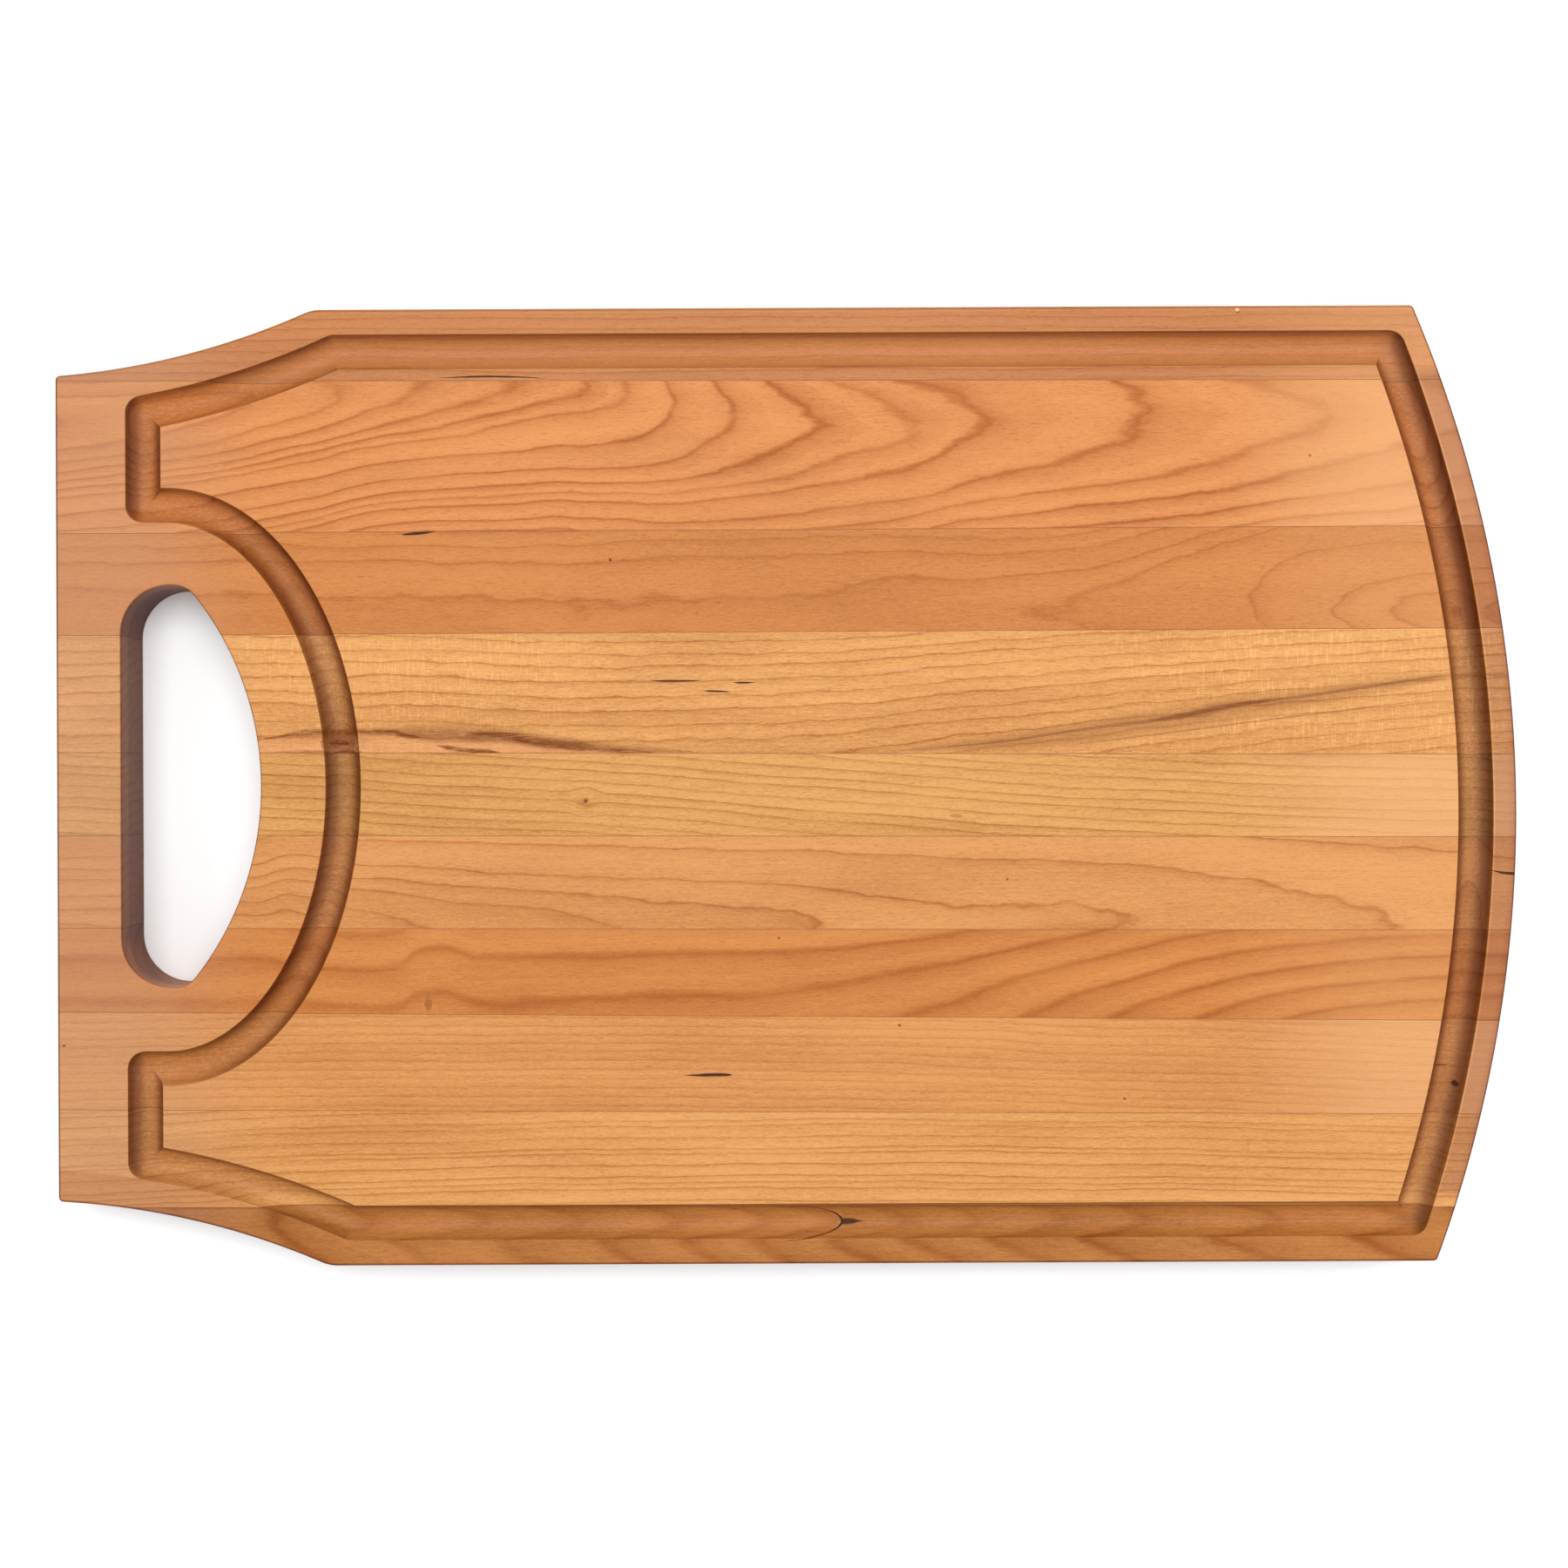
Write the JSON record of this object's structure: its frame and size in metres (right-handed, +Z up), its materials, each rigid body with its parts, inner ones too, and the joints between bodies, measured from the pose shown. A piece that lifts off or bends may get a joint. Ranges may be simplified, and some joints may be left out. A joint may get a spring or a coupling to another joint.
{
  "type": "cutting board",
  "caption": "Edge-glued wooden carving board with a bowed end, hollow-curved shoulders, a D-shaped handle opening and a routed juice groove that arches round it.",
  "frame": {"origin": "middle of the board's bounding box, on the underside that it lies on", "axes": "+X along the staves towards the bowed end, +Y across the staves, +Z up out of the grooved working face"},
  "size_m": [0.432, 0.283, 0.019],
  "materials": {
    "cherry_01": "oiled, satin",
    "cherry_02": "oiled, satin",
    "cherry_03": "oiled, satin",
    "cherry_04": "oiled, satin",
    "cherry_05": "oiled, satin",
    "cherry_06": "oiled, satin",
    "cherry_07": "oiled, satin",
    "cherry_08": "oiled, satin",
    "cherry_09": "oiled, satin",
    "cherry_10": "oiled, satin",
    "wood_glue": "sanded flush"
  },
  "bodies": {
    "root": {"stave_01": "cherry_01", "stave_02": "cherry_02", "stave_03": "cherry_03", "stave_04_grip": "cherry_04", "stave_04_main": "cherry_04", "stave_05_grip": "cherry_05", "stave_05_main": "cherry_05", "stave_06_grip": "cherry_06", "stave_06_main": "cherry_06", "stave_07": "cherry_07", "stave_08": "cherry_08", "stave_09": "cherry_09", "stave_10": "cherry_10", "glue_line_01_02": "wood_glue", "glue_line_02_03": "wood_glue", "glue_line_03_04_grip": "wood_glue", "glue_line_03_04_main": "wood_glue", "glue_line_04_05_grip": "wood_glue", "glue_line_04_05_main": "wood_glue", "glue_line_05_06_grip": "wood_glue", "glue_line_05_06_main": "wood_glue", "glue_line_06_07_grip": "wood_glue", "glue_line_06_07_main": "wood_glue", "glue_line_07_08": "wood_glue", "glue_line_08_09": "wood_glue", "glue_line_09_10": "wood_glue"}
  },
  "joints": []
}
